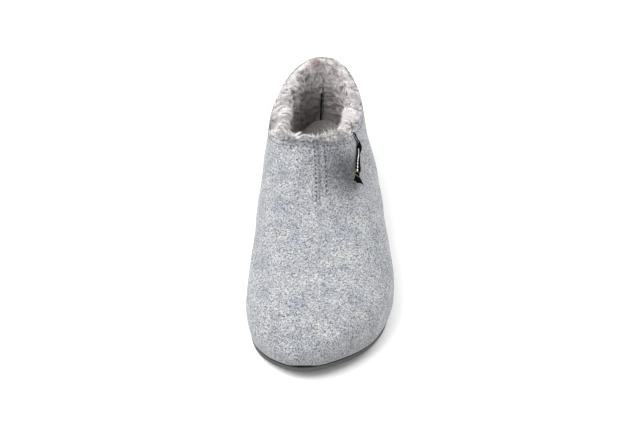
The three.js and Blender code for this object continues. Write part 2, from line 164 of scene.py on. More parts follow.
def skin(along, turn, side, inset):
    """Point of the last drawn smaller by the inset. turn is 90 at the crown, 0 at the widest
    level and -90 at the feather edge; side is 1 on the outer side of the foot."""
    along, turn, inset = np.broadcast_arrays(np.asarray(along, float), np.asarray(turn, float), inset)
    centre, half, ends, y = plan(along, inset)
    low, crown = section(LOW, along) * INSTEP_HEIGHT, section(CROWN, along) * INSTEP_HEIGHT
    rounded = both_ends(along, CROWN_ENDS)
    slant = section(SLANT, along) * BALL_WIDTH * rounded
    power = 2 / section(SQUARE, along)
    angle = np.radians(np.clip(turn, 0, 90))
    c, up = np.cos(angle), np.sin(angle) ** power
    around = np.where(side > 0, turn, 180 - turn)
    dent = HOLLOW_DEEP * BALL_WIDTH * ends * np.exp(
        -((along - HOLLOW_ALONG) / HOLLOW_RUN) ** 2 - ((around - HOLLOW_AROUND) / HOLLOW_SPREAD) ** 2)
    x_up = centre + side * (half * np.maximum(c, 0) ** power - dent * c) + slant * up
    z_up = (crown - low - inset) * rounded * up - dent * np.sin(angle)
    quarter = np.radians(np.clip(-turn, 0, 90))
    x_low = centre + side * (half - np.minimum(TUCK, half / 2) * (1 - np.cos(quarter)))
    z_low = -(low - inset) * both_ends(along, FEATHER_ENDS) * np.sin(quarter)
    x = np.where(turn >= 0, x_up, x_low)
    z = SEAT + low + spring(y) + np.where(turn >= 0, z_up, z_low)
    widest = SECTIONS[LOW][-1] * INSTEP_HEIGHT
    height = (z - SEAT - widest) / (BACK_HEIGHT - widest)
    lean = HEEL_LEAN * height ** 2 * np.clip((along - LEAN_FROM) / LEAN_RUN, 0, 1)
    return np.stack([x, y - lean, z], -1)


def outward(along, turn, side, inset):
    """Unit normal of the last, away from the foot."""
    step, twist, edge = 2e-4, .2, 1e-7
    low, high = np.maximum(along - step, edge), np.minimum(along + step, 1 - edge)
    a = skin(high, turn, side, inset) - skin(low, turn, side, inset)
    b = skin(along, turn + twist, side, inset) - skin(along, turn - twist, side, inset)
    return unit(np.cross(a, b) * side, 1e-9)


def above_edge(p, inset, rise):
    share = (p[..., 1] + LENGTH / 2 - inset) / (LENGTH - 2 * inset)
    return p[..., 2] - SEAT - curve(*TOPLINE, share) - rise - COLLAR_TILT * p[..., 0]


def halved(below, above, inset, rise, place):
    """Meeting of the wall with the collar edge, by halving."""
    for _ in range(36):
        middle = (below + above) / 2
        over = above_edge(place(middle), inset, rise) > 0
        above, below = np.where(over, middle, above), np.where(over, below, middle)
    return (below + above) / 2


def collar_ends(inset, rise):
    """Shares along the shoe of the throat and of the back of the collar."""
    ridge = lambda along: skin(along, 90., 1, inset)
    tries = np.linspace(.51, 1, 400)
    open_ = np.nonzero(above_edge(ridge(tries), inset, rise) > 0)[0]
    return [float(halved(tries[closed], tries[opened], inset, rise, ridge))
            for closed, opened in ((open_[0] - 1, open_[0]), (open_[-1] + 1, open_[-1]))]


def collar_turn(along, side, inset, rise):
    return halved(np.zeros_like(along), np.full_like(along, 90.), inset, rise,
                  lambda turn: skin(along, turn, side, inset))


def swell(count, start, end):
    """Stations between two places, closer together at both."""
    return start + (end - start) * (1 - np.cos(np.pi * np.arange(count + 1) / count)) / 2


THROAT, BACK = collar_ends(0, 0)


class Rows:
    """Stations from toe to heel, with one on the throat and one on the back of the collar."""

    def __init__(self, fore, mid, aft):
        parts = [swell(fore, 0, THROAT), swell(mid, THROAT, BACK)[1:],
                 BACK + (1 - BACK) * (1 - (1 - np.arange(1, aft + 1) / aft) ** 2)]
        self.at = np.concatenate(parts)
        self.throat, self.back = fore, fore + mid

    def layer(self, inset, rise):
        throat, back = collar_ends(inset, rise)
        return np.interp(self.at, [0, THROAT, BACK, 1], [0, throat, back, 1])

    def top(self, inset, rise, side):
        along = self.layer(inset, rise)
        turn = np.full(len(along), 90.)
        cut = slice(self.throat + 1, self.back)
        turn[cut] = collar_turn(along[cut], side, inset, rise)
        return along, turn

    def line(self, column, side):
        """Stations, turns and points of a column: (share of the way up, inset, rise)."""
        share, inset, rise = column
        along, top = self.top(inset, rise, side)
        turn = np.broadcast_to(share * 90 if share < 0 else share * top, along.shape)
        return along, turn, skin(along, turn, side, inset)


# ---- meshes

def welded(points, faces):
    """Points that fall together become one, and faces that fold up are dropped."""
    points = np.concatenate([np.reshape(p, (-1, 3)) for p in points])
    _, first, index = np.unique(np.round(points, 5), axis=0, return_index=True, return_inverse=True)
    index = index.ravel()
    kept = []
    for face in faces:
        ring = []
        for k in index[np.asarray(face)]:
            if not ring or k != ring[-1]:
                ring.append(int(k))
        if ring[0] == ring[-1]:
            ring.pop()
        if len(ring) > 2 and len(set(ring)) == len(ring):
            kept.append(ring)
    return points[first], kept


def linked(name, data):
    made = bpy.data.objects.new(name, data)
    bpy.context.scene.collection.objects.link(made)
    return made


def object_from(name, points, faces, smooth=True, outwards=True):
    data = bpy.data.meshes.new(name)
    data.from_pydata((points * MM).tolist(), [], faces)
    if outwards:
        work = bmesh.new()
        work.from_mesh(data)
        bmesh.ops.recalc_face_normals(work, faces=work.faces)
        work.to_mesh(data)
        work.free()
    data.polygons.foreach_set("use_smooth", [smooth] * len(data.polygons))
    data.update()
    return linked(name, data)


def quads(rows, columns, ringed=False):
    i, j = np.meshgrid(np.arange(rows - 1), np.arange(columns - (0 if ringed else 1)), indexing="ij")
    a, b = i * columns + j, i * columns + (j + 1) % columns
    return np.stack([a, b, b + columns, a + columns], -1).reshape(-1, 4).tolist()


def lofted(name, rings):
    """Closed body through rings; end rings that fall together close it."""
    rings = np.asarray(rings)
    return object_from(name, *welded([rings], quads(*rings.shape[:2], ringed=True)))


def pointed(rings):
    """Rings with their two ends closed to a point."""
    tip = lambda ring: [np.mean(ring, 0)] * len(ring)
    return [tip(rings[0])] + rings + [tip(rings[-1])]


def circle(count):
    return np.linspace(0, 2 * math.pi, count + 1)[:-1]


def hollow_body(name, rows, columns, rim, margins, line):
    """Shoe wall of some thickness. The columns go from the outer feather edge over the collar
    rim to the inner feather edge; rim holds the first and last column of the rim, and line
    gives a column's points. margins are the widths that the outer and inner sheets turn under
    the foot, up to the opening that the sole closes."""
    points, faces, base, turned = [], [], 0, []
    outer, inner = columns[0][1], columns[-1][1]
    for inset, margin in zip((outer, inner), margins):
        half = plan(rows.at, inset)[1]
        turned.append(half - np.minimum(TUCK, half / 2) - margin)
    open_ = np.nonzero((turned[0] > 0) & (turned[1] > 0))[0]
    first_open, last_open = open_[0] - 1, open_[-1] + 1
    number = np.arange(len(rows.at))
    inside = (number > first_open) & (number < last_open)
    for side in (1, -1):
        lines = [line(rows, column, side) for column in columns]
        for edge, reach, inset in ((lines[-1], turned[1], inner), (lines[0], turned[0], outer)):
            under = edge.copy()
            under[:, 0] = plan(rows.layer(inset, 0), inset)[0] + side * np.where(inside, reach, 0)
            lines.append(under)
        grid = np.stack(lines, 1)
        count = grid.shape[1]
        for j in range(count):
            k = (j + 1) % count
            first, last = 0, len(rows.at) - 1
            if rim[0] <= j < rim[1]:
                first, last = rows.throat, rows.back
            elif j == count - 2:
                first, last = first_open, last_open
            for i in range(first, last):
                a, b = base + i * count, base + (i + 1) * count
                faces.append([a + j, a + k, b + k, b + j])
        points.append(grid)
        base += grid.size // 3
    return object_from(name, *welded(points, faces))


# ---- node trees

class Nodes:
    """Maker of a tree's nodes. An input is a value or another node's socket. Kinds without a
    prefix are shader nodes, which geometry trees share for their sums."""

    def __init__(self, tree):
        self.tree = tree

    def set(self, socket, value):
        if isinstance(value, bpy.types.NodeSocket):
            self.tree.links.new(value, socket)
        else:
            socket.default_value = (*value, 1) if socket.type == "RGBA" else value

    def __call__(self, kind, inputs=None, **settings):
        made = self.tree.nodes.new(kind if "Node" in kind else "ShaderNode" + kind)
        for name, value in settings.items():
            setattr(made, name, value)
        for socket, value in (inputs or {}).items():
            self.set(made.inputs[socket], value)
        return made

    def number(self, operation, *values):
        return self("Math", dict(enumerate(values)), operation=operation).outputs[0]

    def vector(self, operation, *values, **named):
        made = self("VectorMath", {**dict(enumerate(values)), **named}, operation=operation)
        return made.outputs["Value" if operation == "DISTANCE" else "Vector"]

    def place(self):
        return self("TexCoord").outputs["Object"]

    def noise(self, place, scale, detail=2., **more):
        return self("TexNoise", {"Vector": place, "Scale": scale, "Detail": detail, **more}).outputs["Fac"]

    def ranged(self, value, low, high, to_low=0., to_high=1.):
        return self("MapRange", {"Value": value, "From Min": low, "From Max": high,
                                 "To Min": to_low, "To Max": to_high}).outputs[0]

    def ramp(self, source, *stops):
        made = self("ValToRGB", {"Fac": source})
        elements = made.color_ramp.elements
        while len(elements) < len(stops):
            elements.new(.5)
        for element, (at, colour) in zip(elements, stops):
            element.position, element.color = at, (*colour, 1)
        return made.outputs["Color"]

    def blend(self, kind, factor, a, b):
        return self("Mix", {0: factor, 6: a, 7: b}, data_type="RGBA", blend_type=kind).outputs[2]

    def attribute(self, name, output="Fac"):
        return self("Attribute", attribute_name=name).outputs[output]

    # for geometry trees
    def named(self, name, kind="FLOAT"):
        return self("GeometryNodeInputNamedAttribute", {"Name": name}, data_type=kind).outputs[0]

    def aligned(self, axis, vector, rotation=None, pivot="AUTO"):
        inputs = {"Vector": vector, **({"Rotation": rotation} if rotation else {})}
        return self("FunctionNodeAlignRotationToVector", inputs, axis=axis, pivot_axis=pivot).outputs[0]

    def stored(self, geometry, name, value, kind):
        made = self("GeometryNodeStoreNamedAttribute", {"Geometry": geometry, "Name": name},
                    data_type=kind, domain="INSTANCE")
        self.set(next(s for s in made.inputs if s.name == "Value" and s.enabled), value)
        return made.outputs[0]

    def made_real(self, geometry, material):
        real = self("GeometryNodeRealizeInstances", {"Geometry": geometry}).outputs[0]
        return self("GeometryNodeSetMaterial", {"Geometry": real, "Material": material}).outputs[0]


class Finish(Nodes):
    """Material with a Principled shader; plain sets its sockets that stay the same all over."""

    def __init__(self, name, **plain):
        self.material = bpy.data.materials.new(name)
        self.material.use_nodes = True
        super().__init__(self.material.node_tree)
        self.shader = self.tree.nodes["Principled BSDF"]
        for socket, value in plain.items():
            self.set(self.shader.inputs[socket.replace("_", " ")], value)

    def grain(self, size):
        return self("Group", {"Size": size}, node_tree=GRAIN).outputs

    def done(self, colour, bump=None, **others):
        """Links what changes over the surface; bump is (height, strength, distance)."""
        if bump:
            others["Normal"] = self("Bump", dict(zip(("Height", "Strength", "Distance"), bump))).outputs[0]
        for socket, value in {"Base Color": colour, **others}.items():
            self.set(self.shader.inputs[socket], value)
        return self.material


def fibre_grain():
    """Shader group of uneven fine fibres: a mask for colour and a height, at a size in metres."""
    group = bpy.data.node_groups.new("Fibre grain", "ShaderNodeTree")
    size = group.interface.new_socket("Size", in_out="INPUT", socket_type="NodeSocketFloat")
    size.default_value = .001
    for label in ("Mask", "Height"):
        group.interface.new_socket(label, in_out="OUTPUT", socket_type="NodeSocketFloat")
    node = Nodes(group)
    given, out = node("NodeGroupInput"), node("NodeGroupOutput")
    place = node.place()
    scale = node.number("DIVIDE", 1., given.outputs["Size"])
    coarse = node.noise(place, scale, 2., Roughness=.6, Distortion=.6)
    fine = node.noise(place, node.number("MULTIPLY", scale, 2.7), 1.5, Distortion=1.2)
    node.set(out.inputs["Mask"], coarse)
    node.set(out.inputs["Height"], node.number("MULTIPLY", node.number("ADD", coarse, fine), .5))
    return group


GRAIN = fibre_grain()
THIN_SPOT = (-.003, .126, .079)  # in metres


def felt_material():
    """Grey melange wool felt with darker, bluish and white flecks."""
    felt = Finish("grey melange felt", Sheen_Weight=.2, Sheen_Roughness=.5, Specular_IOR_Level=.2)
    grain = felt.grain(.0011)
    flecks = felt.ramp(grain["Mask"], (.29, (.050, .052, .057)), (.39, (.135, .139, .147)),
                       (.50, (.275, .281, .292)), (.60, (.375, .381, .393)), (.73, (.52, .525, .53)))
    tint = felt.ramp(felt.noise(felt.place(), 75., 3., Roughness=.6),
                     (.36, (.80, .82, .86)), (.64, (1.075, 1.072, 1.06)))
    melange = felt.blend("MULTIPLY", 1., flecks, tint)
    # It is darker by painted shade: in the hollow beside the tag, at the toe's lower edge, under the throat's
    # tufts and in the seam groove below them.
    colour = felt.blend("MULTIPLY", felt.attribute("pressed"), melange, (.24, .245, .25))
    return felt.done(colour, (grain["Height"], .5, .0006),
                     Roughness=felt.ranged(grain["Height"], 0., 1., .86, 1.))


def plush_material(name, root, tip, deep=.5, clinging=1., facing=(0, 0, 0), own=.28):
    """Pile that is darker and browner at its roots, and darker deep in the shoe by painted shade.
    It reads the strand's own attributes: up, shade and away. own is the share of a strand's
    own shading ahead of the heel."""
    fur = Finish(name, Roughness=.85, Sheen_Weight=.15, Sheen_Roughness=.4, Specular_IOR_Level=.2)
    place = fur.place()
    half_way = tuple(.4 * a + .6 * b for a, b in zip(root, tip))
    colour = fur.ramp(fur.attribute("up"), (0, root), (.45, half_way), (.9, tip))
    tone = fur.ramp(fur.attribute("shade"), (0, (.84, .825, .82)), (1, (1.05, 1.05, 1.05)))
    toned = fur.blend("MULTIPLY", 1., colour, tone)
    # Strands cling together in locks, which run across the shoe, most of all at the heel.
    drawn = fur.vector("MULTIPLY", place, (95., 300., 300.))
    locks = fur.ramp(fur.noise(drawn, 1., 2., Distortion=.8), (.36, (.50, .48, .48)),
                       (.47, (.92, .91, .91)), (.60, (1.12, 1.12, 1.12)))
    apart = fur("SeparateXYZ", {0: place}).outputs
    heel = lambda fore, aft: fur.ranged(apart[1], .06, .105, fore, aft)
    streaked = fur.blend("MULTIPLY", heel(.14 * clinging, clinging), toned, locks)
    # Painted shade: the pile is darker deeper down in the shoe.
    depth_shade = fur.ramp(fur.ranged(apart[2], .028, .058), (0, (deep, deep * .93, deep * .92)), (1, (1, 1, 1)))
    deep_shaded = fur.blend("MULTIPLY", 1., streaked, depth_shade)
    # A thin spot at the back where the brown ground shows.
    thin = fur.ranged(fur.vector("DISTANCE", place, THIN_SPOT), .002, .0075, .75, 0.)
    # Strands take most of their shading from the skin below, so that the pile reads as one coat.
    strand = fur.vector("SCALE", fur("NewGeometry").outputs["Normal"], Scale=heel(own, .8))
    rolled = fur.vector("ADD", fur.attribute("away", "Vector"), facing)
    even = fur.vector("NORMALIZE", fur.vector("ADD", rolled, strand))
    return fur.done(fur.blend("MIX", thin, deep_shaded, (.27, .20, .19)), Normal=even)


def backing_material():
    """Knitted ground of the plush under the pile, lighter towards the collar."""
    knit = Finish("plush ground", Sheen_Weight=.3, Roughness=.95)
    grain = knit.grain(.0012)
    base = knit.ramp(grain["Mask"], (.3, (.24, .21, .205)), (.7, (.38, .35, .345)))
    # The ground is lighter towards the collar.
    towards_collar = knit.ranged(knit("SeparateXYZ", {0: knit.place()}).outputs[2], .045, .062)
    return knit.done(knit.blend("MIX", towards_collar, base, (.64, .61, .605)), (grain["Height"], .6, .0012))


def footbed_material():
    """Short cropped pile, worn smoother under the heel."""
    bed = Finish("cropped footbed pile", Sheen_Weight=.35, Sheen_Roughness=.5, Roughness=.95)
    grain = bed.grain(.0013)
    base = bed.ramp(grain["Mask"], (.34, (.185, .173, .173)), (.66, (.385, .367, .369)))
    tone = bed.ramp(bed.noise(bed.place(), 45.), (.35, (.76, .75, .75)), (.65, (1.05, 1.04, 1.04)))
    return bed.done(bed.blend("MULTIPLY", 1., base, tone), (grain["Height"], .5, .0006))


def rubber_material():
    """Dark grey moulded rubber, slightly dusty, with painted shade on the lip under the felt."""
    rubber = Finish("moulded grey rubber")
    dust = rubber.noise(rubber.place(), 60., 3.)
    side = rubber.ramp(dust, (.3, (.050, .049, .050)), (.7, (.074, .072, .073)))
    # Painted shade on the sole's top lip, in the recess under the felt.
    return rubber.done(rubber.blend("MULTIPLY", rubber.attribute("lip"), side, (.16, .16, .165)),
                       (rubber.grain(.0008)["Height"], .25, .0004),
                       Roughness=rubber.ranged(dust, 0., 1., .62, .86))


def thread_material(name, colour, light, gloss=.15):
    thread = Finish(name, Roughness=.85, Specular_IOR_Level=gloss)
    grain = thread.grain(.0004)
    return thread.done(thread.ramp(grain["Mask"], (.35, colour), (.65, light)), (grain["Height"], .4, .0002))


# ---- what repeats: geometry trees

def planted(base, name, inputs, build):
    """Runs a geometry tree over an object and returns the result as a plain mesh object; inputs
    gives each named input its kind of socket and its value."""
    tree = bpy.data.node_groups.new(name + " tree", "GeometryNodeTree")
    socket = lambda label, way, kind: tree.interface.new_socket(
        label, in_out=way, socket_type="NodeSocket" + kind)
    socket("Surface", "INPUT", "Geometry")
    values = {socket(label, "INPUT", kind).identifier: value for label, (kind, value) in inputs.items()}
    socket("Result", "OUTPUT", "Geometry")
    node = Nodes(tree)
    given, out = node("NodeGroupInput"), node("NodeGroupOutput")
    node.set(out.inputs[0], build(node, given.outputs))
    modifier = base.modifiers.new(name, "NODES")
    modifier.node_group = tree
    for identifier, value in values.items():
        modifier[identifier] = value
    data = evaluated(base)
    base.modifiers.remove(modifier)
    data.name = name
    return linked(name, data)


def evaluated(thing):
    """New mesh with the object's modifiers applied."""
    bpy.context.view_layer.update()
    return bpy.data.meshes.new_from_object(thing.evaluated_get(bpy.context.evaluated_depsgraph_get()))


def scatter_tree(node, given):
    """Tufts over a surface, which lean by its attribute flow and follow its thick and long."""
    spread = node("GeometryNodeDistributePointsOnFaces", {
        "Mesh": given["Surface"], "Seed": given["Seed"],
        "Density": node.number("MULTIPLY", node.named("thick"), given["Density"])},
        distribute_method="RANDOM").outputs
    flow = node.named("flow", "FLOAT_VECTOR")
    stray = node("FunctionNodeRandomValue", {
        "Min": (-1, -1, -1), "Max": (1, 1, 1), "Seed": given["Seed"]}, data_type="FLOAT_VECTOR").outputs[0]
    loose = node.vector("SCALE", stray, Scale=given["Scatter"])
    lean = node.vector("ADD", spread["Normal"], flow)
    stand = node.aligned("Z", node.vector("ADD", lean, loose))
    turned = node.aligned("X", node.vector("ADD", flow, loose), stand, "Z")
    kinds = node("GeometryNodeCollectionInfo", {
        "Collection": given["Kinds"], "Separate Children": True, "Reset Children": True}).outputs[0]
    random = lambda low, high, seed: node("FunctionNodeRandomValue", {
        2: low, 3: high, "Seed": seed}, data_type="FLOAT").outputs[1]
    size = random(given["Shortest"], given["Longest"], given["Seed"])
    tufts = node("GeometryNodeInstanceOnPoints", {
        "Points": spread["Points"], "Instance": kinds, "Pick Instance": True, "Rotation": turned,
        "Scale": node.number("MULTIPLY", size, node.named("long"))}).outputs[0]
    shaded = node.stored(tufts, "shade", random(0., 1., 5), "FLOAT")
    return node.made_real(node.stored(shaded, "away", spread["Normal"], "FLOAT_VECTOR"), given["Material"])


def stitch_tree(node, given):
    """Stitches lying end to end along a path; its attribute rise says which way is up."""
    path = node("GeometryNodeMeshToCurve", {"Mesh": given["Surface"]}).outputs[0]
    even = node("GeometryNodeResampleCurve", {"Curve": path, "Length": given["Pitch"]}, mode="LENGTH")
    lie = node.aligned("X", node("GeometryNodeInputTangent").outputs[0])
    stand = node.aligned("Z", node.named("rise", "FLOAT_VECTOR"), lie, "X")
    kind = node("GeometryNodeObjectInfo", {"Object": given["Kind"]}).outputs["Geometry"]
    placed = node("GeometryNodeInstanceOnPoints", {
        "Points": even.outputs[0], "Instance": kind, "Rotation": stand}).outputs[0]
    return node.made_real(placed, given["Material"])


# ---- pieces

def dropped(*objects):
    for thing in objects:
        data = thing.data
        bpy.data.objects.remove(thing)
        if not data.users:
            bpy.data.meshes.remove(data)


def with_attributes(thing, **values):
    for name, value in values.items():
        value = np.asarray(value, np.float32)
        kind, field = ("FLOAT_VECTOR", "vector") if value.ndim == 2 else ("FLOAT", "value")
        thing.data.attributes.new(name, kind, "POINT").data.foreach_set(field, value.ravel())
    return thing


def spots_of(piece):
    """Coordinates of a piece's points, in mm."""
    return np.array([v.co[:] for v in piece.data.vertices]).T / MM


def given_to_root(piece, node, material=None):
    """The piece takes the place of a node of the part, which is hidden; it hangs from the root body."""
    if material:
        piece.data.materials.append(material)
    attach(piece, "root")
    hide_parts(node)
    return piece


STRAND = tuple(zip((0, .38, .72, 1), (1, .92, .62, 0)))  # levels with the width there
DROOP, SAG, WAVES = .42, .12, 2.6


def heading(angle):
    return np.array([math.cos(angle), math.sin(angle), 0])


def tuft_kinds(name, kinds, strands, long, spread, width, curl, seed):
    """A few tufts of tapered strands, growing along +Z and drooping to +X."""
    dice = np.random.default_rng(seed)
    group = bpy.data.collections.new(name)
    bpy.context.scene.collection.children.link(group)
    for k in range(kinds):
        points, faces, heights = [], [], []
        for _ in range(strands):
            angle, reach = dice.uniform(0, 2 * math.pi), spread * math.sqrt(dice.uniform())
            root = reach * heading(angle)
            tall = long * dice.uniform(.72, 1.08)
            wave = heading(dice.uniform(0, 2 * math.pi)) * curl * dice.uniform(.2, 1)
            lean = root * dice.uniform(-.25, .55)
            side = heading(dice.uniform(0, math.pi))
            start = len(points)
            for level, share in STRAND:
                bend = np.array([DROOP * long * level ** 2, 0, -SAG * long * level ** 2])
                p = root + lean * level + bend + [0, 0, tall * level] + wave * math.sin(WAVES * level)
                half = side * width * share / 2
                pair = [p - half, p + half] if share else [p]
                points += pair
                heights += [level] * len(pair)
            faces += [[start + k for k in ring] for ring in ((0, 1, 3, 2), (2, 3, 5, 4), (4, 5, 6))]
        made = object_from(f"{name} {k}", np.array(points), faces, outwards=False)
        with_attributes(made, up=heights)
        bpy.context.scene.collection.objects.unlink(made)
        group.objects.link(made)
    return group


# ---- felt upper

SEAM_WIDTH, SEAM_DEPTH = 1.3, 1.0
SEAM_LIP_OFF, SEAM_LIP_WIDTH, SEAM_LIP = 3.4, 1.6, .35
FELT_ROWS = Rows(120, 84, 10)
# Shares of the way up the wall, closest together beside the centre-front seam
CROWN_SHARES = 1 - np.array([4.7, 3.5, 2.4, 1.6, 1, .57, .25, 0]) / 90
WALL_SHARES = np.concatenate([-(1 - np.arange(9) / 9), np.linspace(0, .935, 46), CROWN_SHARES])
# Share of the way up, inset, rise
FELT_RIM = [(1, .12, .28), (1, .45, .5), (1, .85, .55), (1, 1.25, .42), (1, 1.55, .18)]
FELT_INNER = [(1, 1.7, -.2), (.97, 2, 0), (.93, 2.6, 0)] + [
    (share, FELT, 0) for share in (.88, .75, .6, .45, .2, 0, -.4, -.8, -1)]
# Widths that the outer and inner sheets turn under the foot
FELT_MARGINS, GROUND_MARGINS = (14, 11), (7.5, 1.6)
# Creases in the vamp, as (x, y) paths with depth and width: two soft ones beside the ball on the
# inner side, and the fold that bounds the hollow on the outer side.
CREASES = [
    ([(-44.4, -60), (-41.8, -66), (-40.6, -73), (-38.7, -82)], .9, 2.2),
    ([(-41.6, -59), (-32.4, -56), (-25.4, -61), (-20, -71)], .5, 2.6),
    ([(16, -25), (25, -21.5), (32, -20.2), (39.5, -19.5), (43, -23)], .8, 2.4),
]
# Pressed in beside the tag: place, spread across and along, depth
SINK_X, SINK_Y, SINK_WIDE, SINK_LONG, SINK_DEEP = 23, -1, 9.5, 15, 2.6
# Painted shade in the hollow beside the tag: place, spread to the inner and outer side and along
DARK_X, DARK_Y, DARK_INNER, DARK_OUTER, DARK_LONG = 20, 4, 24, 8, 22
ABOVE_SIDES = 30  # height over which the felt is vamp and collar, not side


def off_path(x, y, path):
    """Distance from a path in plan."""
    best = np.full(np.shape(x), 1e9)
    for (ax, ay), (bx, by) in zip(path, path[1:]):
        dx, dy = bx - ax, by - ay
        t = np.clip(((x - ax) * dx + (y - ay) * dy) / (dx * dx + dy * dy), 0, 1)
        best = np.minimum(best, np.hypot(x - ax - t * dx, y - ay - t * dy))
    return best


def felt_relief(along, turn, side, points):
    """Height of the felt over the last, in mm: seam groove, creases and hand-made unevenness."""
    x, y, z = points.T
    off = np.abs(x - skin(along, 90., side, 0)[:, 0])
    fade = (np.clip(along / .04, 0, 1) * np.clip((THROAT - along) / .004, 0, 1)
            * (.4 + .6 * smooth(along, .2, .4)))
    groove = (-SEAM_DEPTH * np.exp(-(off / SEAM_WIDTH) ** 2)
              + SEAM_LIP * np.exp(-((off - SEAM_LIP_OFF) / SEAM_LIP_WIDTH) ** 2))
    uneven = (.30 * np.sin(x / 9.1 + 1.3) * np.sin(y / 13.3) + .20 * np.sin(y / 7.7 + x / 15.1 + z / 11)
              + .10 * np.sin(x / 4.3 - y / 5.9))
    for path, deep, wide in CREASES:
        gap = off_path(x, y, path) / wide
        crease = deep * np.exp(-gap ** 2) - .4 * deep * np.exp(-(gap - 2) ** 2)
        uneven = uneven - crease * (turn > 0)
    sunk = np.exp(-((x - SINK_X) / SINK_WIDE) ** 2 - ((y - SINK_Y) / SINK_LONG) ** 2)
    uneven = uneven - SINK_DEEP * sunk * (turn > 0)
    ends = np.clip(along / .03, 0, 1) * np.clip((1 - along) / .03, 0, 1) * np.clip((turn + 90) / 25, 0, 1)
    return (groove * fade * (turn > 0) + uneven) * ends


def on_felt(along, turn, side, inset=0, share=1):
    """Points of the felt with a share of its relief, and the directions away from it."""
    points, away = skin(along, turn, side, inset), outward(along, turn, side, inset)
    return points + (felt_relief(along, turn, side, points) * share)[:, None] * away, away


def felt_line(rows, column, side):
    inset = column[1]
    along, turn, points = rows.line(column, side)
    if inset < FELT:
        # The rim follows the outer face where that is pressed in.
        points, _ = on_felt(along, turn, side, inset, 1 if inset == 0 else .9)
    return points


def felt_shade(x, y, z):
    """How much painted shade the felt takes, from 0 to 1, by places."""
    # Painted shade in the hollow beside the tag, spreading wider towards the inner side.
    across = np.where(x > DARK_X, DARK_OUTER, DARK_INNER)
    shade = np.exp(-((x - DARK_X) / across) ** 2 - ((y - DARK_Y) / DARK_LONG) ** 2) * (z > ABOVE_SIDES)
    # Painted shade at the toe's lower edge, where it turns down to the sole.
    shade += .32 * (1 - smooth(z, 14, 34)) * (1 - smooth(y, -118, -90))
    # Painted shadow under the throat's tufts, and painted shade in the seam groove just below it.
    edge = above_edge(np.stack([x, y, z], -1), 0, 0)
    shade += .5 * np.exp(-(edge / 2.6) ** 2) * (1 - smooth(y, 16, 34))
    along = (y + LENGTH / 2) / LENGTH
    seam = np.exp(-((x - skin(along, 90., 1, 0)[:, 0]) / .8) ** 2) * smooth(along, .43, .47)
    shade += .24 * seam * (z > ABOVE_SIDES) * (along < THROAT + .01)
    return np.clip(shade, 0, 1)


def felt_upper(material):
    outer = [(share, 0, 0) for share in WALL_SHARES]
    first = len(outer) - 1
    piece = hollow_body("felt_upper", FELT_ROWS, outer + FELT_RIM + FELT_INNER,
                        (first, first + len(FELT_RIM) + 1), FELT_MARGINS, felt_line)
    # Painted shade, by places on the felt.
    with_attributes(piece, pressed=felt_shade(*spots_of(piece)))
    return given_to_root(piece, "upper", material)


# ---- plush lining

LINING_ROWS = Rows(70, 64, 8)
# The ground swells to a roll at the collar: share of the way up, inset, rise
GROUND_RIM = [(1, 2.7, .8), (1, 4.2, 1.4), (1, 5.8, 1.5), (1, 7.4, 1.0), (1, 8.6, 0)]
GROUND_WALL = [(share, 9.3, -1.6) for share in (
    1, .95, .90, .84, .77, .68, .57, .45, .32, .18, .06, -.2, -.5, -1)]
GROUND_OUTER = [(share, LINING_OUT + .1, .2) for share in (-1, -.5, 0, .5, .88)] + [
    (.93, 2.85, .2), (.97, 2.2, .2), (1, 1.72, .3)]
# Bulge of the roll into the shoe, from the throat to the back of the collar
ROLL_ALONG, ROLL_BULGE = (.58, .63, .72, .84, .92, .99), (.6, 1.6, 2.6, 2.0, -.6, -2.6)
ROLL_FROM, ROLL_FULL = 5, 9  # insets
PARTING_TOP = 53  # height where the pile closes over the back seam
PARTING_HALF, PARTING_FROM = 1.2, 90  # half width, and where it starts lengthwise
THROAT_END = .645  # share of the length


def ground_line(rows, column, side):
    share, inset, _ = column
    along, turn, points = rows.line(column, side)
    if inset > ROLL_FROM:
        run = .14 + .18 * smooth(along, .86, .95)
        bulge = (np.interp(along, ROLL_ALONG, ROLL_BULGE) * np.exp(-((1 - share) / run) ** 2)
                 * smooth(inset, ROLL_FROM, ROLL_FULL))
        points = points - bulge[:, None] * outward(along, turn, side, inset)
    return points


def plush_ground(material):
    """Backing of the pile: a rounded roll at the collar and a wall down to the footbed."""
    first = len(GROUND_OUTER) - 1
    piece = hollow_body("plush_ground", LINING_ROWS, GROUND_OUTER + GROUND_RIM + GROUND_WALL,
                        (first, first + len(GROUND_RIM) + 1), GROUND_MARGINS, ground_line)
    return given_to_root(piece, "lining", material)


def seam_x(z):
    """Place across of the back seam, which leans with the last."""
    return np.interp(z, (25, 52, 84), (0, .9, -.6))


def scalp(name, side, columns, rim, until, fill):
    """Strip of the lining's inner face that carries pile. fill gets its points and the combed
    direction down the wall, and gives the flow, thickness and length of the pile."""
    rows = LINING_ROWS
    first = rows.throat
    last = int(np.searchsorted(rows.at, until))
    grid = np.stack([ground_line(rows, column, side) for column in columns], 1)[first:last]
    flow, thick, long_ = fill(grid, unit(np.gradient(grid, axis=1), 1e-6), side)
    count = grid.shape[1]
    # Behind the back of the collar there is no rim.
    faces = [face for face in quads(len(grid), count)
             if face[0] % count >= rim or face[0] // count < rows.back - first]
    if side > 0:
        faces = [face[::-1] for face in faces]
    made = object_from(name, grid.reshape(-1, 3), faces, outwards=False)
    return with_attributes(made, flow=flow.reshape(-1, 3), thick=thick.ravel(), long=long_.ravel())


def level_of(grid):
    """Share of the way down the strip."""
    return np.broadcast_to(np.linspace(0, 1, grid.shape[1]), grid.shape[:2])


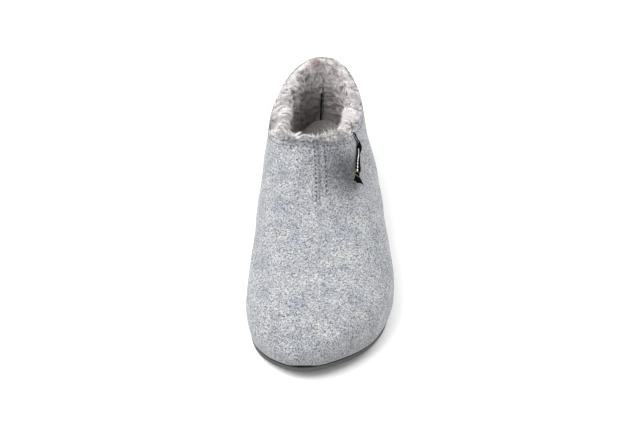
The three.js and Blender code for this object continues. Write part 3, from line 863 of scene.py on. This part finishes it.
def wall_pile(grid, down, side):
    x, y, z = np.moveaxis(grid, -1, 0)
    level = level_of(grid)
    heel = smooth(y + 6 * np.sin(z / 4.3 + side), 80, 114)[..., None]
    # On the sides the pile is combed down and inwards, on the back away from the seam in waves.
    wave = np.sin(z / 3.4 + x / 5.1) + .6 * np.sin(z / 1.9 - x / 7.3)
    parted = np.stack([side * (1.3 + .2 * wave), -.2 + 0 * x, .55 * wave - .15], -1)
    comb = np.interp(level, [0, .06, .22, 1], [-.15, .15, 1.5, 1.5])[..., None]
    parted *= np.interp(level, [0, .1, .3, 1], [.1, .4, 1, 1])[..., None]
    # Higher up the pile is tousled and closes over the seam.
    ragged = 4 * np.sin(x / 4.1 + 1) + 2.5 * np.sin(x / 1.7)
    loose = smooth(z + ragged, PARTING_TOP - 5, PARTING_TOP + 14)
    parted[..., 0] = parted[..., 0] * (1 - loose) + .9 * np.sin(z / 2.1 + x / 3.3) * loose
    parted[..., 2] -= .5 * loose
    flow = (1 - heel) * comb * down + heel * parted
    flow[..., 2] += .2 * np.sin(y / 6.3 + z / 7.1)
    flow[..., 1] += .35 * np.sin(y / 9.7 - z / 5.3 + side)
    thick = 1. - (np.abs(x - seam_x(z)) < PARTING_HALF) * (y > PARTING_FROM) * (z < PARTING_TOP)
    long_ = np.interp(level, [0, .2, .4, .8, 1], [.55, .85, 1, 1, 1.05]) * (1 - .1 * heel[..., 0])
    return flow, thick, long_


def throat_pile(grid, down, side):
    """Tufts that stand up at the throat and roll over the felt edge."""
    x = grid[..., 0]
    flow = np.stack([.45 * np.sin(x / 3.1), -.55 - .5 * np.sin(x / 2.3), 1.2 + .7 * np.sin(x / 2.1 + 1)], -1)
    return flow, np.ones(grid.shape[:2]), .95 + .35 * level_of(grid)


def plush_pile(material, bright):
    kinds = tuft_kinds("pile tuft", kinds=6, strands=15, long=7.6, spread=2.1, width=.42, curl=.4, seed=11)
    face = GROUND_OUTER[-1:] + GROUND_RIM + GROUND_WALL[:-1]
    lip = GROUND_RIM[:4]
    # what the strip takes, then tufts in a square metre, scatter and the shortest tuft
    wall = (face, len(GROUND_RIM) + 1, math.inf, wall_pile), 260000., .22, .75
    throat = (lip, len(lip), THROAT_END, throat_pile), 330000., .5, .6
    for name, side, seed, look, (strip, density, scatter, shortest) in (
            ("pile_outer_side", 1, 13, material, wall), ("pile_inner_side", -1, 4, material, wall),
            ("throat_pile_outer", 1, 7, bright, throat), ("throat_pile_inner", -1, 8, bright, throat)):
        base = scalp(name + "_scalp", side, *strip)
        piece = planted(base, name, {
            "Density": ("Float", density), "Seed": ("Int", seed), "Scatter": ("Float", scatter),
            "Shortest": ("Float", shortest), "Longest": ("Float", 1.15),
            "Kinds": ("Collection", kinds), "Material": ("Material", look)}, scatter_tree)
        dropped(base)
        given_to_root(piece, "lining")
    dropped(*kinds.objects)
    bpy.data.collections.remove(kinds)


def back_seam(material):
    """Near-black strip on the back seam of the lining, where the pile parts: painted shade in that gap."""
    half, thick, proud, upright = .55, 1.6, 11.4, 28.5
    rings = []
    for z in np.linspace(23, PARTING_TOP - 1, 36):
        lean = HEEL_LEAN * ((z - SEAT - upright) / (BACK_HEIGHT - upright)) ** 2
        x = seam_x(z) + .35 * math.sin(z / 3.1) * smooth(z, 46, 60)
        y = LENGTH / 2 - proud - lean + .25 * math.sin(z / 1.9)
        rings.append([(x + half * math.cos(a), y + thick * math.sin(a), z) for a in circle(8)])
    return given_to_root(lofted("back_seam_tape", pointed(rings)), "lining", material)


# ---- footbed

def footbed(material):
    across = np.linspace(-1, 1, 33)
    under = FELT_FLOOR + .3

    def raised(y, along):
        return under + spring(y) + HEEL_LIFT * smooth(along, .42, .78)

    def top(y, share, along):
        return (raised(y, along) + FOOTBED - FOOTBED * .22 * (1 - share ** 2) * cap(1 - along, .3, 2)
                + FOOTBED * .25 * np.clip(-share, 0, 1) ** 2 * np.exp(-((along - .58) / .1) ** 2))

    # inset, share of the way across, height over the underside, which is left out on top
    edge = [(FOOTBED_INSET, FOOTBED * .7), (FOOTBED_INSET + .35, FOOTBED * .93)]
    profile = ([(FOOTBED_INSET, s, 0) for s in across] + [(inset, 1, height) for inset, height in edge]
               + [(FOOTBED_INSET + 1.2, s, None) for s in across[::-1]]
               + [(inset, -1, height) for inset, height in edge[::-1]])
    rings = []
    for along in swell(90, 0, 1):
        ring = []
        for inset, share, height in profile:
            centre, half, _, y = plan(along, inset)
            if height is None:
                z = top(y, share, along)
            else:
                z = (raised(y, along) if height else under + spring(y)) + height
            ring.append((centre + share * half, y, z))
        rings.append(ring)
    return given_to_root(lofted("footbed", rings), "insole", material)


# ---- outsole

OUTSOLE, RAND, STEP, BEVEL, RIM, TREAD, GROOVE, PITCH = 7.2, 5.6, 1.3, 1.5, 7, 1.4, 3, 10.5
ISLAND = TUCK + 14.3
TREAD_RUNS = (.075, .455), (.69, .945)  # shares of the length


def arch_lift(along, share):
    side = (share + 1) / 2
    lift = np.interp(along, UNDERSIDE[0], UNDERSIDE[1] * (1 - side) + UNDERSIDE[2] * side, 0, 0)
    return lift * ARCH_RELIEF


def plate(name, alongs, bottom, sides, top, columns):
    """Plate with the last's outline; a level is (inset, height, lifted by the arch or not)."""
    across = np.linspace(-1, 1, columns + 1)
    rings = []
    for along in alongs:
        def place(share, level):
            inset, height, arched = level
            centre, half, _, y = plan(along, inset)
            return (centre + share * half, y,
                    height + spring(y) + (arch_lift(along, share) if arched else 0))
        rings.append([place(s, bottom) for s in across] + [place(1, level) for level in sides]
                     + [place(s, top) for s in across[::-1]] + [place(-1, level) for level in sides[::-1]])
    return lofted(name, rings)


def chevrons():
    """Bars that cut the grooves of the tread, before they are trimmed to its field."""
    points, faces = [], []
    arm = BALL_WIDTH / 2
    fall = arm * math.tan(math.radians(14))
    outline = [(-arm, -fall), (0, 0), (arm, -fall), (arm, GROOVE - fall), (0, GROOVE), (-arm, GROOVE - fall)]
    for start, end in TREAD_RUNS:
        for i in range(int((end - start) * LENGTH / PITCH) + 1):
            y = start * LENGTH - LENGTH / 2 + i * PITCH
            base = len(points)
            points += [(x, y + dy, z) for z in (-14, 20) for x, dy in outline]
            faces += [[base + 5 - k for k in range(6)], [base + 6 + k for k in range(6)]]
            faces += [[base + k, base + (k + 1) % 6, base + 6 + (k + 1) % 6, base + 6 + k] for k in range(6)]
    return object_from("chevrons", np.array(points, float), faces, smooth=False)


def outsole(material):
    sides = [(TUCK + BEVEL * (1 - math.sin(a)), BEVEL * (1 - math.cos(a)), True)
             for a in np.radians([15, 35, 55, 75])]
    sides += [(TUCK, BEVEL, True)] + [(TUCK, RAND - down, False) for down in (1.4, .9, .5)]
    sides += [(TUCK + .15, RAND - .15, False), (TUCK + .5, RAND, False), (TUCK + STEP, RAND, False),
              (TUCK + STEP, OUTSOLE, False), (ISLAND, OUTSOLE, False)]
    alongs = np.unique(np.concatenate([swell(110, 0, 1), UNDERSIDE[0]]))
    piece = plate("sole_unit", alongs, (TUCK + BEVEL, 0, True), sides, (ISLAND, FELT_FLOOR, False), 8)
    inset = TUCK + BEVEL + RIM
    field = plate("tread field", swell(60, 0, 1), (inset, -6, False), [], (inset, TREAD, False), 4)
    cutter = chevrons()
    for thing, operation, other in ((cutter, "INTERSECT", field), (piece, "DIFFERENCE", cutter)):
        cut = thing.modifiers.new("cut", "BOOLEAN")
        cut.operation, cut.object, cut.solver = operation, other, "EXACT"
        data = evaluated(thing)
        thing.modifiers.remove(cut)
        thing.data = data
    dropped(cutter, field)
    piece.data.name = "sole_unit"
    y, z = spots_of(piece)[1:]
    # Painted shade on the sole's top lip, under the felt.
    with_attributes(piece, lip=(z - spring(y) > RAND - 1.1).astype(float))
    piece.data.set_sharp_from_angle(angle=math.radians(38))
    piece.data.materials.clear()
    return given_to_root(piece, "outsole", material)


# ---- loop tag

RIBBON, RIBBON_WIDTH, TAG_DROP, TAG_CLEAR = .7, 6.6, 32.2, 1.05
# down the wall as a share of TAG_DROP, along, half width as a share of RIBBON_WIDTH
TAG = np.array([
    (.04, .648, .20), (.12, .654, .20), (.23, .656, .22), (.34, .646, .26), (.40, .613, .30),
    (.51, .568, .30), (.73, .537, .29), (.85, .522, .21), (.93, .512, .21), (.96, .504, .32),
    (1, .489, .50)])
# Over the collar's edge: inside as a share of the felt's thickness, and rise in TAG_CLEAR
TAG_TURN = [(1, -5), (1, .6), (.75, 1.5), (.25, 1.5), (0, .6)]
TAG_STANDS = np.array((0, .743, -.669))  # across the ribbon where it stands on its edge
FINE = 6  # rows of points for each line of TAG
ACROSS = np.linspace(-1, 1, 9)
MID = 4  # its middle column
PROBE = 20  # row that tells which way is out
STITCHED_ROWS, BOUND_ROWS, WOUND_ROWS = range(23, 40), (43, 44, 45, 46, 47), (41.6, 49.4)


def edge_turn(along, inset, rise):
    return float(collar_turn(np.array(along), 1, inset, rise))


def beside(along, turn, inset, travel, distance):
    """Point on the wall a distance to the side of a path that travels over it."""
    here = skin(along, turn, 1, inset)
    ahead = (skin(along + 1e-3, turn, 1, inset) - here) / 1e-3
    round_ = skin(along, turn + 1, 1, inset) - here
    move = np.cross(np.cross(ahead, round_), travel)
    move *= distance / np.linalg.norm(move)
    mixed, long_, wide = ahead @ round_, ahead @ ahead, round_ @ round_
    scale = long_ * wide - mixed ** 2
    return skin(along + (move @ ahead * wide - move @ round_ * mixed) / scale,
                turn + (move @ round_ * long_ - move @ ahead * mixed) / scale, 1, inset)


def tag_grid():
    """Rows of points on the tag's middle surface, from its root in the lining to its tails."""
    rows = []
    for inside, over in TAG_TURN:
        inset = inside * (FELT + 2 * TAG_CLEAR) - TAG_CLEAR
        rows.append([skin(along, edge_turn(along, inset, over * TAG_CLEAR), 1, inset)
                     for along in TAG[0, 1] + ACROSS * TAG[0, 2] * RIBBON_WIDTH / LENGTH])
    knots = np.arange(len(TAG), dtype=float)
    at = np.linspace(0, len(TAG) - 1, FINE * (len(TAG) - 1) + 1)
    drops, alongs, halves = (curve(knots, column, at) for column in TAG.T)
    turns = [edge_turn(along, -TAG_CLEAR, -drop * TAG_DROP) for drop, along in zip(drops, alongs)]
    spine = np.array([skin(along, turn, 1, -TAG_CLEAR) for along, turn in zip(alongs, turns)])
    for along, turn, half, travel in zip(alongs, turns, halves, np.gradient(spine, axis=0)):
        rows.append([beside(along, turn, -TAG_CLEAR, travel, s * half * RIBBON_WIDTH + 1e-6) for s in ACROSS])
    return np.array(rows)


def tag_normals(grid):
    return unit(np.cross(np.gradient(grid, axis=0), np.gradient(grid, axis=1)), 1e-9)


def dot(a, b):
    return (a * b).sum(-1, keepdims=True)


def ribbon_surface():
    """Middle surface of the ribbon and its normals. It stands on its edge over the collar, lies
    flat lower down, and is ruffled and notched at its tails."""
    grid = tag_grid()
    first_normals = tag_normals(grid)
    if first_normals[PROBE, MID] @ outward(np.array(.62), np.array(45.), 1, 0) < 0:
        first_normals = -first_normals
    middle, up = grid[:, MID:MID + 1], first_normals[:, MID:MID + 1]
    reach = grid[:, -1:] - middle
    place = np.arange(len(grid)) - len(TAG_TURN)
    # It spreads where it lies flat, and again at its tails.
    slack = 1.15 + .32 * smooth(place, 10, 20) * (1 - smooth(place, 35, 42)) + .15 * smooth(place, 50, 58)
    width = np.abs(ACROSS) * (np.linalg.norm(reach[:, 0], axis=-1) * slack)[:, None]
    turning = smooth(place, 10, 20)[:, None, None]
    travel, flat = unit(np.gradient(middle, axis=0)), unit(reach)
    stood = unit(TAG_STANDS - dot(TAG_STANDS, travel) * travel)
    stood *= np.sign(dot(stood, flat))
    lie = unit(turning * flat + (1 - turning) * stood)
    clear = np.abs(dot(lie, up)) * width[:, -1:, None]
    grid = middle + lie * (np.sign(ACROSS) * width)[..., None] + up * clear * .85
    tails = np.clip((place - (place[-1] - 11)) / 11, 0, 1)[:, None]
    ruffle = tails * 1.1 * np.abs(ACROSS) ** 1.5 + tails * .5 * np.sin(np.linspace(0, 9, 9))
    grid = grid + up * ruffle[..., None]
    notch = (1 - np.abs(ACROSS)) * 2.4
    grid[-1] += unit(grid[-2] - grid[-1]) * notch[:, None]
    normals = tag_normals(grid)
    return grid, normals * np.sign(normals[PROBE, MID] @ first_normals[PROBE, MID])


def winding(name, rows, grid, normals, material):
    """Rings of thread round the ribbon, at rows of its surface or between two."""
    turns, sides, raised, thread = 20, 6, .62, .30
    points, faces = [], []
    for row in rows:
        k = len(TAG_TURN) + int(row)
        blend = row - int(row)
        mid = grid[k, MID] * (1 - blend) + grid[k + 1, MID] * blend
        side, up = grid[k, -1] - grid[k, 0], normals[k, MID]
        reach = np.linalg.norm(side) / 2 + .15
        side = unit(side)
        travel = np.cross(side, up)
        base = len(points)
        for a in circle(turns):
            out = side * math.cos(a) * reach + up * math.sin(a) * raised
            points += [mid + out + (unit(out) * math.cos(b) + travel * math.sin(b)) * thread
                       for b in circle(sides)]
        for i in range(turns):
            here, ahead = base + i * sides, base + (i + 1) % turns * sides
            faces += [[here + j, here + (j + 1) % sides, ahead + (j + 1) % sides, ahead + j]
                      for j in range(sides)]
    return given_to_root(object_from(name, np.array(points), faces), "ribbon_tag", material)


def ribbon_tag(ribbon, white, ochre):
    """Folded ribbon, bound with thread above its notched tails. A running stitch takes the place
    of any lettering."""
    grid, normals = ribbon_surface()
    half = RIBBON / 2
    rings = np.concatenate([grid + normals * half, (grid - normals * half)[:, ::-1]], 1)
    count, wide = rings.shape[:2]
    ends = lambda start: [[start + k, start + k + 1, start + wide - 2 - k, start + wide - 1 - k]
                          for k in range(wide // 2 - 1)]
    faces = quads(count, wide, ringed=True) + [face[::-1] for face in ends(0)] + ends((count - 1) * wide)
    given_to_root(object_from("ribbon_band", *welded([rings], faces)), "ribbon_tag", ribbon)

    rows = [len(TAG_TURN) + k for k in STITCHED_ROWS]
    path = np.array([.55 * grid[k, MID] + .45 * min(grid[k, 0], grid[k, -1], key=lambda p: p[0])
                     + normals[k, MID] * (half + .05) for k in rows])
    stitched("ribbon_stitch", path, normals[rows, MID], (2.2, .62, .26), 2.9, white, "ribbon_tag")
    winding("tag_binding", BOUND_ROWS, grid, normals, ribbon)
    winding("ochre_winding", WOUND_ROWS, grid, normals, ochre)


# ---- stitches

def stitch_kind(long, half, tall):
    """One thread stitch, a low rounded bar with its ends sunk."""
    rings = []
    for share, size in ((-1, .25), (-.8, .8), (-.3, 1), (.3, 1), (.8, .8), (1, .25)):
        x, drop = share * long / 2, (1 - size) * tall
        rings.append([(x, half * size * math.cos(a), tall * .4 + tall * size * math.sin(a) - drop)
                      for a in circle(6)])
    return lofted("stitch kind", pointed(rings))


def stitched(name, path, rise, size, pitch, material, node):
    """Row of stitches along a path given in mm, with its direction away from the cloth. size is
    a stitch's length, half width and height."""
    data = bpy.data.meshes.new(name + " path")
    data.from_pydata((path * MM).tolist(), [(i, i + 1) for i in range(len(path) - 1)], [])
    line = with_attributes(linked(name + " path", data), rise=rise)
    kind = stitch_kind(*size)
    piece = planted(line, name, {"Pitch": ("Float", pitch * MM), "Kind": ("Object", kind),
                                 "Material": ("Material", material)}, stitch_tree)
    dropped(line, kind)
    for face in piece.data.polygons:
        face.use_smooth = True
    return given_to_root(piece, node)


def seam_stitches(material):
    """Two topstitched rows beside the centre-front seam and one row round the collar."""
    turns = np.linspace(90, 60, 80)
    for name, side, off, until in (("seam_stitch_inner", -1, 3.1, .430), ("seam_stitch_outer", 1, 4.4, .455)):
        line = []
        for along in np.linspace(THROAT - .012, until, 150):
            both = on_felt(np.full(len(turns), along), turns, side)
            gap = np.abs(both[0][:, 0] - both[0][0, 0])
            line.append([[np.interp(off, gap, column) for column in each.T] for each in both])
        path, rise = np.swapaxes(line, 0, 1)
        stitched(name, path, rise, (2.1, .42, .22), 3.5, material, "upper")
    cut = slice(FELT_ROWS.throat + 2, FELT_ROWS.back - 1)
    halves = []
    for side in (1, -1):
        along, top = FELT_ROWS.top(0, -2.3, side)
        halves.append([each[::side] for each in on_felt(along[cut], top[cut], side)])
    path, rise = (np.concatenate(each) for each in zip(*halves))
    stitched("collar_stitch", path, rise, (1.9, .3, .16), 3.2, material, "upper")


# ---- the shoe

felt_upper(felt_material())
plush_ground(backing_material())
# The throat's tufts take a lighter copy of the same pile, with no depth darkening: painted light.
plush_pile(plush_material("warm grey plush", (.60, .565, .56), (.86, .835, .835)),
           plush_material("lit plush copy", (.88, .86, .86), (.97, .96, .96), deep=1., clinging=.2,
                          facing=(-.3, -.9, 1.2), own=.9))
# Near-black strip in the parting of the pile at the back seam: painted shade.
back_seam(thread_material("seam parting shade", (.006, .005, .0055), (.016, .014, .0145)))
footbed(footbed_material())
outsole(rubber_material())
ribbon_tag(thread_material("black woven ribbon", (.002, .002, .0022), (.006, .006, .0065), 0.),
           thread_material("white thread", (.62, .62, .62), (.85, .85, .85)),
           thread_material("ochre thread", (.10, .08, .02), (.25, .20, .06)))
seam_stitches(thread_material("slate thread", (.020, .021, .025), (.060, .063, .070)))


# ---- floor, lights and camera, in metres

FLOOR_HALF, LIT_SPOT = 3., (0, 0, .04)
LIGHTS = ("key", (-.75, -.45, 1.30), 1.1, 28.), ("fill", (.85, .8, 1.3), 1.4, 17.)  # place, size, power
ELEVATION, DISTANCE, TARGET = math.radians(42), 1.8, (-.0004, 0, .03755)


def studio():
    data = bpy.data.meshes.new("floor")
    corners = ((-1, -1), (1, -1), (1, 1), (-1, 1))
    data.from_pydata([(x * FLOOR_HALF, y * FLOOR_HALF, 0) for x, y in corners], [], [[0, 1, 2, 3]])
    floor = linked("floor", data)
    data.materials.append(Finish("pale floor", Roughness=.9, Base_Color=(.93, .93, .93)).material)
    floor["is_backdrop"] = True

    world = bpy.context.scene.world or bpy.data.worlds.new("studio")
    bpy.context.scene.world = world
    world.use_nodes = True
    background = world.node_tree.nodes["Background"].inputs
    background["Color"].default_value = (1, 1, 1, 1)
    background["Strength"].default_value = .8

    for name, place, size, power in LIGHTS:
        light = bpy.data.lights.new(name, "AREA")
        light.size, light.energy = size, power
        lamp = linked(name, light)
        lamp.location = place
        way = np.array(LIT_SPOT) - np.array(place)
        flat = math.hypot(way[0], way[1])
        lamp.rotation_euler = (math.atan2(flat, -way[2]), 0, math.atan2(way[1], way[0]) - math.pi / 2)

    view = bpy.data.cameras.new("camera")
    view.sensor_width, view.lens = 36, 138.15
    view.clip_end = 20
    camera = linked("camera", view)
    camera.location = (TARGET[0], TARGET[1] - DISTANCE * math.cos(ELEVATION),
                       TARGET[2] + DISTANCE * math.sin(ELEVATION))
    camera.rotation_euler = (math.pi / 2 - ELEVATION, 0, 0)
    bpy.context.scene.camera = camera
    bpy.context.scene.view_settings.view_transform = "Standard"


studio()
bpy.context.view_layer.update()
flat_list = lambda box: [[float(v) for v in corner] for corner in box]
{"cad": flat_list(cad_box), "visual": flat_list(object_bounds())}
